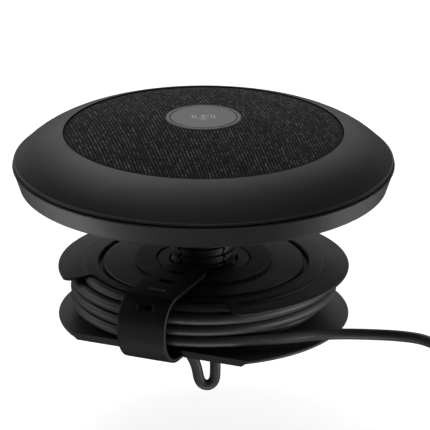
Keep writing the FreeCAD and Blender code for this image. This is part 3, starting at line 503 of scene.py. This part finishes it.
def build_cloth():
    """Grid aligned with the ribs, cut to a ring and draped over the dome."""
    step = 0.2
    angle = math.radians(RIB_AZIMUTH)
    half_count = int(CLOTH_OUTER / step) + 3
    grid = np.arange(-half_count, half_count + 1) * step
    across, along = np.meshgrid(grid, grid, indexing="ij")
    x = across * math.cos(angle) + along * math.sin(angle)
    y = across * math.sin(angle) - along * math.cos(angle)
    r = np.hypot(x, y)
    inside = (r < CLOTH_OUTER) & (r > CLOTH_INNER)
    cell = inside[:-1, :-1] | inside[1:, :-1] | inside[1:, 1:] | inside[:-1, 1:]
    # outside corners of boundary cells are moved onto the two circles
    snapped = np.clip(r, CLOTH_INNER, CLOTH_OUTER)
    scale = snapped / np.maximum(r, 1e-9)
    x, y = x * scale, y * scale
    height, tone = weave(x, y)
    # painted shadow: the cloth darkens towards its outer edge, next to the trim, and its relief
    # fades at both rims
    tone = tone * (0.12 + 0.88 * smoothstep((CLOTH_OUTER - snapped) / 0.95))
    relief = np.clip(np.minimum(CLOTH_OUTER - snapped, snapped - CLOTH_INNER) / 0.5, 0, 1)
    z = (dome_z(snapped) - CLOTH_SINK
         + (height - 0.5) * WEAVE_HEIGHT * (0.35 + 0.65 * relief))

    used = np.zeros(r.shape, bool)
    for rows in (slice(None, -1), slice(1, None)):
        for columns in (slice(None, -1), slice(1, None)):
            used[rows, columns] |= cell
    index = -np.ones(r.shape, int)
    index[used] = np.arange(used.sum())
    i, j = np.nonzero(cell)
    quads = np.stack([index[i, j], index[i, j + 1], index[i + 1, j + 1], index[i + 1, j]], 1)
    mesh = quad_mesh("fabric_dome", np.stack([x[used], y[used], z[used]], 1) * MM, quads)
    for name, values in (("melange_and_shade", tone), ("hgt", height)):
        attribute = mesh.attributes.new(name, "FLOAT", "POINT")
        attribute.data.foreach_set("value", values[used].astype(np.float32))

    # merge what the snapping brought together, then add the rims
    bm = bmesh.new()
    bm.from_mesh(mesh)
    bmesh.ops.remove_doubles(bm, verts=bm.verts, dist=0.00002)
    bmesh.ops.dissolve_degenerate(bm, dist=0.000005, edges=bm.edges)
    bm.normal_update()
    turn_rim_down(bm, CLOTH_OUTER, OUTER_RIM)
    turn_rim_down(bm, CLOTH_INNER, INNER_RIM)
    bmesh.ops.recalc_face_normals(bm, faces=bm.faces)
    if sum(f.normal.z for f in bm.faces) < 0:
        bmesh.ops.reverse_faces(bm, faces=bm.faces)
    bm.to_mesh(mesh)
    bm.free()
    return link_mesh("fabric_dome", mesh, "fabric_melange")


cloth = build_cloth()
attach(cloth, "pod")
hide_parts("fabric_cover")


# ------------------------------------------------------------------ cable (mm)
CABLE_RADIUS = 2.03
CABLE_SEGMENTS = 24
CABLE_STEP = 1.1
LEG_OFFSET = 4.3                  # straight leg in the stem, to the camera's right of the axis
LEG_TOP, LEG_BOTTOM = -37.0, -76.9
BEND_RADIUS = 3.1
# Rise from the bend to the reel: offset to the camera's right, z
RISE = ((-2.35, -73.4), (-3.5, -69.6), (-8.0, -62.8), (-14.4, -56.6), (-20.2, -50.8),
        (-24.8, -45.4), (-29.5, -42.2), (-34.0, -41.3))
# Where the rise joins the first turn: radius, azimuth, z
RISE_ONTO_REEL = ((38.2, -61.0, -41.8), (41.2, -51.0, -42.4), (42.9, -38.0, -42.8),
                  (42.95, -28.0, -42.85))
# Radius, z of each wound turn
TURNS = np.array(((42.95, -42.85), (42.95, -38.55), (42.95, -34.2),
                  (47.15, -34.75), (47.10, -38.95), (47.10, -43.30)))
WIND_START, WIND_END, WIND_STEP = -27, 5 * 360 + 22, 3        # azimuth, degrees
CHANGEOVER = 35                   # degrees either side of the back to reach the next turn
WINDOW_TURN = 2                   # this turn rides up at the front, into the flange's window
WINDOW_SHIFT = np.array((1.1, 2.15))                          # radius, z
# The tail from the reel to the plug: x, y, z
TAIL = ((43.5, -25.0, -44.6), (52.0, -15.6, -45.4), (60.5, -9.4, -45.9), (70.0, -6.3, -45.75),
        (80.0, -5.0, -45.2), (89.5, -4.7, -45.3), (98.5, -4.8, -47.9), (107.0, -4.9, -51.9),
        (115.6, -5.0, -55.37))
TAIL_OVERLAP = 12                 # first tail points, already covered by the last turn


def in_view(right, towards, z):
    """Point from offsets to the camera's right and towards the camera."""
    return right * CAMERA_RIGHT + towards * TOWARDS_CAMERA + np.array([0, 0, z])


def wound_turns():
    """Six turns of rising azimuth; the cable changes level at the back (+Y)."""
    points = []
    for azimuth in range(WIND_START, WIND_END + 1, WIND_STEP):
        turn, phase = divmod(azimuth + 180, 360)              # phase 0 at the back
        place = TURNS[turn]
        if turn < len(TURNS) - 1 and phase > 360 - CHANGEOVER:
            share = smoothstep((phase - 360 + CHANGEOVER) / (2 * CHANGEOVER))
            place = place + (TURNS[turn + 1] - place) * share
        elif turn > 0 and phase < CHANGEOVER:
            share = smoothstep((phase + CHANGEOVER) / (2 * CHANGEOVER))
            place = TURNS[turn - 1] + (place - TURNS[turn - 1]) * share
        if turn == WINDOW_TURN:
            # full shift within 36 degrees of the front, none beyond 62
            place = place + WINDOW_SHIFT * smoothstep((62.0 - abs(phase - 180.0)) / 26.0)
        r, z = place
        # slight unevenness, less in the inner layer
        waviness = 0.10 * (0.3 if turn < 3 else 1.0)
        z += waviness * math.sin(math.radians(azimuth) * 2.3 + turn)
        points.append(polar(r, azimuth, z))
    return points


def cable_path():
    """Down the stem, round the bend, up to the reel, round it and out to the plug."""
    leg = [in_view(LEG_OFFSET, 0, z) for z in np.arange(LEG_TOP, LEG_BOTTOM, -1.5)]
    bend_centre = LEG_OFFSET - BEND_RADIUS
    bend = [in_view(bend_centre + BEND_RADIUS * math.cos(t), 0,
                    LEG_BOTTOM - BEND_RADIUS * math.sin(t))
            for t in np.linspace(0, math.pi, 17)]
    rise_start = (bend_centre - BEND_RADIUS, LEG_BOTTOM)
    rise = curve_through([in_view(right, 0, z) for right, z in (rise_start, *RISE)]
                         + [polar(*p) for p in RISE_ONTO_REEL])
    r, z = TURNS[-1]
    tail = curve_through([polar(r, 14.0, z), polar(r, 24.0, z), polar(r, 34.0, z - 0.15),
                          polar(r + 0.4, 44.0, z - 0.5), *TAIL])[TAIL_OVERLAP:]
    path = np.vstack([leg, bend[1:], rise[1:], wound_turns(), tail])
    # drop near-duplicates, then even out the spacing and relax the joins
    kept = [0]
    for i in range(1, len(path)):
        if np.linalg.norm(path[i] - path[kept[-1]]) > 0.35:
            kept.append(i)
    path = resample(path[kept], CABLE_STEP)
    for _ in range(6):
        path[1:-1] = path[1:-1] * 0.5 + (path[:-2] + path[2:]) * 0.25
    return path


def build_cable():
    """Capped tube along the path; its cross-section is carried along without twist."""
    path = cable_path()
    count, seg = len(path), CABLE_SEGMENTS
    tangents = np.gradient(path, axis=0)
    tangents /= np.linalg.norm(tangents, axis=1)[:, None]
    angles = np.linspace(0, 2 * math.pi, seg, endpoint=False)[:, None]
    side = np.array([1.0, 0, 0])
    rings = []
    for centre, tangent in zip(path, tangents):
        side = side - (side @ tangent) * tangent
        side /= np.linalg.norm(side)
        other = np.cross(tangent, side)
        rings.append(centre + CABLE_RADIUS * (np.cos(angles) * side + np.sin(angles) * other))
    faces = []
    for a in range(0, (count - 1) * seg, seg):
        b = a + seg
        for k in range(seg):
            k2 = (k + 1) % seg
            faces.append((a + k, a + k2, b + k2, b + k))
    faces.append(tuple(reversed(range(seg))))
    faces.append(tuple(range((count - 1) * seg, count * seg)))
    return mesh_object("signal_cable", np.vstack(rings) * MM, faces, "cable_jacket")


cable = build_cable()
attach(cable, "reel")
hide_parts("cable_pack", "service_loop", "cable_tail")


# ------------------------------------------------------------------ strap (mm)
STRAP_WIDTH = 18.8
STRAP_THICKNESS = 1.7
STRAP_ROUNDING = 0.42             # radius of all its edges
STRAP_CROWN = 0.05                # the sides are this much thinner than the middle, each face
CROWN_REACH = 3.0                 # distance from the side to full thickness
TIP_RADIUS = 8.0                  # corners of the free tip
SLOT_HALF_WIDTH = 3.1
SLOTS = ((8.6, 11.0), (18.3, 20.8), (27.3, 30.3), (38.75, 41.2))     # start, end from the tip
STRAP_TOP_Z, STRAP_BOTTOM_Z = -27.7, -51.6
STRAP_FRONT_Y = -55.15
TOP_BEND, BOTTOM_BEND = 9.65, 12.1                            # radii
TIP_Y, RIVETED_END_Y = -12.6, -25.5
# Mesh lines at these distances from an edge give it its rounding
ROUNDING_LINES = (0.0, 0.05, 0.14, 0.27, STRAP_ROUNDING)


def strap_path():
    """Mid-surface as (y, z), from the free tip to the riveted end."""
    top_y, top_z = STRAP_FRONT_Y + TOP_BEND, STRAP_TOP_Z - TOP_BEND
    bottom_y, bottom_z = STRAP_FRONT_Y + BOTTOM_BEND, STRAP_BOTTOM_Z + BOTTOM_BEND
    path = [(TIP_Y, STRAP_TOP_Z), (top_y, STRAP_TOP_Z)]
    for t in np.linspace(0, math.pi / 2, 22)[1:]:
        path.append((top_y - TOP_BEND * math.sin(t), top_z + TOP_BEND * math.cos(t)))
    path.append((STRAP_FRONT_Y, bottom_z))
    for t in np.linspace(0, math.pi / 2, 26)[1:]:
        path.append((bottom_y - BOTTOM_BEND * math.cos(t),
                     bottom_z - BOTTOM_BEND * math.sin(t)))
    path.append((RIVETED_END_Y, STRAP_BOTTOM_Z))
    return np.array(path, float)


def grid_lines(low, high, cuts, step):
    """Positions from low to high: even ones, and close ones beside each cut."""
    lines = {low, high}
    lines |= {cut + sign * d for cut in cuts for d in ROUNDING_LINES for sign in (-1, 1)}
    lines |= {even for even in np.arange(low, high, step)
              if all(abs(even - cut) > step * 0.7 for cut in cuts)}
    lines = sorted(v for v in lines if low - 1e-9 <= v <= high + 1e-9)
    spaced = [lines[0]]
    for v in lines[1:]:
        if v - spaced[-1] > 0.03:
            spaced.append(v)
    spaced[-1] = high
    return np.array(spaced)


def strap_half_width(s):
    if s >= TIP_RADIUS:
        return STRAP_WIDTH / 2
    return STRAP_WIDTH / 2 - TIP_RADIUS + math.sqrt(TIP_RADIUS ** 2 - (TIP_RADIUS - s) ** 2)


def narrowed(x, half_width):
    """Grid position x fitted to the local width, with the slots' sides kept straight."""
    if half_width < SLOT_HALF_WIDTH + 0.2:
        return x * half_width / (STRAP_WIDTH / 2)
    if abs(x) > SLOT_HALF_WIDTH + 1e-4:
        share = (half_width - SLOT_HALF_WIDTH) / (STRAP_WIDTH / 2 - SLOT_HALF_WIDTH)
        return math.copysign(SLOT_HALF_WIDTH + (abs(x) - SLOT_HALF_WIDTH) * share, x)
    return x


def half_thickness(s, x, strap_x, half_width, total):
    """Half thickness at s along the strap; x is the grid position, strap_x the real one."""
    from_side = half_width - abs(strap_x)
    if s >= TIP_RADIUS:
        to_edge = from_side
    else:
        past_corner = max(0.0, abs(strap_x) - (STRAP_WIDTH / 2 - TIP_RADIUS))
        to_edge = TIP_RADIUS - math.hypot(TIP_RADIUS - s, past_corner)
    to_slots = [math.hypot(max(abs(x) - SLOT_HALF_WIDTH, 0), max(start - s, s - end, 0))
                for start, end in SLOTS]
    to_edge = max(min(to_edge, total - s, *to_slots), 0.0)
    inward = min(to_edge / STRAP_ROUNDING, 1.0)
    half = (STRAP_THICKNESS / 2 - STRAP_ROUNDING
            + STRAP_ROUNDING * math.sqrt(1 - (1 - inward) ** 2))
    crown = math.sin(min(1.0, max(0.0, from_side / CROWN_REACH)) * math.pi / 2)
    return half + STRAP_CROWN * crown - STRAP_CROWN


def in_slot(s, x):
    return abs(x) < SLOT_HALF_WIDTH - 1e-6 and any(
        start + 1e-6 < s < end - 1e-6 for start, end in SLOTS)


def build_strap():
    """One slotted strip with two skins, joined by walls at every open side."""
    path = strap_path()
    lengths = np.r_[0, np.cumsum(np.linalg.norm(np.diff(path, axis=0), axis=1))]
    total = lengths[-1]
    half = STRAP_WIDTH / 2
    stations = grid_lines(0, total, [0, total] + [end for slot in SLOTS for end in slot],
                          step=0.7)
    columns = grid_lines(-half, half, [-half, half, -SLOT_HALF_WIDTH, SLOT_HALF_WIDTH],
                         step=1.0)

    def point_at(s):
        return np.array([np.interp(s, lengths, path[:, k]) for k in (0, 1)])

    outer, inner, verts = {}, {}, []
    for i, s in enumerate(stations):
        half_width = strap_half_width(s)
        y, z = point_at(s)
        direction = point_at(min(s + 0.3, total)) - point_at(max(s - 0.3, 0))
        direction /= np.linalg.norm(direction)
        out_y, out_z = direction[1], -direction[0]
        for j, x in enumerate(columns):
            if in_slot(s, x):
                continue
            strap_x = narrowed(x, half_width)
            h = half_thickness(s, x, strap_x, half_width, total)
            for skin, offset in ((outer, h), (inner, -h)):
                skin[i, j] = len(verts)
                verts.append((strap_x, y + out_y * offset, z + out_z * offset))

    faces = []
    cells = set()
    for i in range(len(stations) - 1):
        for j in range(len(columns) - 1):
            corners = [(i, j), (i + 1, j), (i + 1, j + 1), (i, j + 1)]
            if all(c in outer for c in corners):
                cells.add((i, j))
                faces.append([outer[c] for c in corners])
                faces.append([inner[c] for c in reversed(corners)])
    for i, j in cells:
        # neighbouring cell, and the two corners shared with it
        for neighbour, a, b in (((i - 1, j), (i, j + 1), (i, j)),
                                ((i + 1, j), (i + 1, j), (i + 1, j + 1)),
                                ((i, j - 1), (i, j), (i + 1, j)),
                                ((i, j + 1), (i + 1, j + 1), (i, j + 1))):
            if neighbour not in cells:
                faces.append([outer[b], outer[a], inner[a], inner[b]])

    strap = mesh_object("cable_strap", np.array(verts) * MM, faces, "strap_rubber")
    bm = bmesh.new()
    bm.from_mesh(strap.data)
    bmesh.ops.remove_doubles(bm, verts=bm.verts, dist=0.000004)
    bmesh.ops.recalc_face_normals(bm, faces=bm.faces)
    bm.to_mesh(strap.data)
    bm.free()
    strap.data.polygons.foreach_set("use_smooth", [True] * len(strap.data.polygons))
    return strap


strap = build_strap()
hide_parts("strap", "strap_anchor")
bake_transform(strap)


# ------------------------------------------------------------------ floor and world (metres)
FLOOR_Z = -0.0885
FLOOR_HALF = 6.0


def floor_material():
    """Pale and glowing to the camera, mid grey and unlit to all other rays."""
    m = Material("floor_pale")
    is_camera = m.node("ShaderNodeLightPath").outputs["Is Camera Ray"]
    m.set({"Base Color": m.mix(is_camera, (0.35, 0.35, 0.35), (0.86, 0.86, 0.86)),
           "Roughness": 0.9, "Specular IOR Level": 0.1})
    plain = m.principled.outputs[0]
    glow = m.node("ShaderNodeEmission", {"Color": 1, "Strength": 0.86}).outputs[0]
    glowing = m.node("ShaderNodeAddShader", {0: plain, 1: glow}).outputs[0]
    seen = m.node("ShaderNodeMixShader", {0: is_camera, 1: plain, 2: glowing}).outputs[0]
    m.feed(m.output.inputs[0], seen)


floor_material()
floor = mesh_object(
    "stage_floor",
    [(x * FLOOR_HALF, y * FLOOR_HALF, FLOOR_Z) for x, y in ((-1, -1), (1, -1), (1, 1), (-1, 1))],
    [(0, 1, 2, 3)], "floor_pale", smooth=False)
floor.visible_shadow = False


def build_world():
    """White to the camera; to other rays nearly black, a shade lighter above the horizon."""
    world = bpy.data.worlds.new("studio")
    bpy.context.scene.world = world
    world.use_nodes = True
    w = NodeTree(world.node_tree)
    output = w.node("ShaderNodeOutputWorld")
    white = w.node("ShaderNodeBackground", {0: 1, 1: 1.0}).outputs[0]
    direction = w.node("ShaderNodeTexCoord").outputs["Generated"]
    up = w.node("ShaderNodeSeparateXYZ", {0: direction}).outputs[2]
    rise = w.node("ShaderNodeMapRange", {0: up, "From Min": -1, "From Max": 1}).outputs[0]
    tone = w.ramp(rise, [(0.49, 0.02), (0.51, (0.03, 0.03, 0.031))])
    dark = w.node("ShaderNodeBackground", {0: tone, 1: 1.0}).outputs[0]
    is_camera = w.node("ShaderNodeLightPath").outputs["Is Camera Ray"]
    seen = w.node("ShaderNodeMixShader", {0: is_camera, 1: dark, 2: white}).outputs[0]
    w.feed(output.inputs[0], seen)


build_world()


# ------------------------------------------------------------------ lights (metres, watts)
LIGHT_DISTANCE = 1.3
# Softboxes aimed at the origin: name, azimuth from the camera (+ to its right),
# elevation, (width, height), power
UPPER_BOXES = (
    ("up_back_high", 180, 45, (1.2, 0.7), 2.35),
    ("up_back_left", -152, 55, (0.9, 0.7), 2.9),
    ("up_back_low", 180, 20, (1.2, 0.5), 1.85),
    ("up_overhead", 180, 82, (0.9, 0.9), 0.95),
    ("up_front_bounce", 0, -18, (1.2, 0.4), 4.2),
    ("up_side_right", 110, 0, (0.7, 0.4), 1.0),
    ("up_rim_right", 138, 0, (0.9, 0.5), 0.35),
    ("up_rim_left", -140, 0, (0.9, 0.5), 0.8),
    ("up_low_left", -98, -40, (0.7, 0.5), 6.5),
    ("up_low_right", 112, -42, (0.7, 0.5), 4.0),
)
LOWER_BOXES = (
    ("lo_back_high", 180, 45, (1.2, 0.7), 3.6),
    ("lo_back_low", 180, 20, (1.2, 0.5), 0.7),
    ("lo_left", -116, 26, (0.8, 0.8), 3.0),
    ("lo_right", 100, 30, (0.8, 0.8), 2.8),
    ("lo_front_bounce", 0, -18, (1.2, 0.4), 0.25),
    ("lo_overhead", 180, 75, (0.9, 0.6), 0.5),
)
LOWER_LOW_BOXES = (
    ("lo_under", 0, -58, (1.0, 0.6), 7.0),
    ("lo_right_low", 84, -12, (0.8, 0.4), 6.5),
    ("lo_left_low", -96, -12, (0.8, 0.4), 2.2),
)
# Nodes lit by the lower set; all the others belong to the upper one
LOWER_NODES = {
    "threaded_stem", "clamp_washer", "clamp_nut", "grip_pad", "reel_upper_flange",
    "reel_lower_flange", "reel_screws", "cable_pack", "service_loop", "cable_tail",
    "plug_boot", "plug_shell", "plug_tongue", "strap_anchor", "strap_rivets", "strap",
    "catch_bar"}

upper = bpy.data.collections.new("lit_from_above")
lower = bpy.data.collections.new("lit_from_below")
for node, piece in NODES.items():
    (lower if node in LOWER_NODES else upper).objects.link(piece)
for piece in (cloth, floor):
    upper.objects.link(piece)
for piece in (cable, strap):
    lower.objects.link(piece)


def direction_to(azimuth, elevation):
    """Unit vector at degrees from the camera's azimuth (+ to its right) and from level."""
    a, e = math.radians(azimuth), math.radians(elevation)
    level = TOWARDS_CAMERA * math.cos(a) + CAMERA_RIGHT * math.sin(a)
    return level * math.cos(e) + np.array([0, 0, math.sin(e)])


def aim(piece, location, target):
    piece.location = tuple(location)
    towards = Vector(tuple(target)) - Vector(tuple(location))
    piece.rotation_euler = towards.to_track_quat("-Z", "Y").to_euler()


def area_light(receivers, name, location, target, size, power):
    """Rectangular light that shines only on the receivers collection."""
    light = bpy.data.lights.new(name, "AREA")
    light.shape = "RECTANGLE"
    light.size, light.size_y = size
    light.energy = power
    lamp = bpy.data.objects.new(name, light)
    bpy.context.scene.collection.objects.link(lamp)
    aim(lamp, location, target)
    lamp.visible_camera = False
    lamp.light_linking.receiver_collection = receivers
    if lamp.location.z < FLOOR_Z:
        # it shines up through the floor plane
        light.cycles.use_multiple_importance_sampling = False


def softboxes(receivers, boxes):
    for name, azimuth, elevation, size, power in boxes:
        area_light(receivers, name, direction_to(azimuth, elevation) * LIGHT_DISTANCE,
                   target=(0, 0, 0), size=size, power=power)


softboxes(upper, UPPER_BOXES)
softboxes(lower, LOWER_BOXES)
area_light(lower, "lo_tail", location=in_view(220, 120, -60) * MM,
           target=in_view(80, 0, -47) * MM, size=(0.12, 0.08), power=0.14)
softboxes(lower, LOWER_LOW_BOXES)


# ------------------------------------------------------------------ camera (metres)
CAMERA_ELEVATION = 20.3
CAMERA_DISTANCE = 1.8
CAMERA_TARGET = CAMERA_RIGHT * 0.0042 + np.array([0, 0, -0.012])


def build_camera():
    lens = bpy.data.cameras.new("photo_camera")
    lens.sensor_width = 36.0
    lens.lens = 410.06512
    lens.clip_start = 0.05
    lens.clip_end = 50.0
    camera = bpy.data.objects.new("photo_camera", lens)
    bpy.context.scene.collection.objects.link(camera)
    offset = direction_to(0, CAMERA_ELEVATION) * CAMERA_DISTANCE
    aim(camera, CAMERA_TARGET + offset, CAMERA_TARGET)
    bpy.context.scene.camera = camera


build_camera()
bpy.context.scene.view_settings.view_transform = "Standard"
bpy.context.scene.view_settings.look = "None"
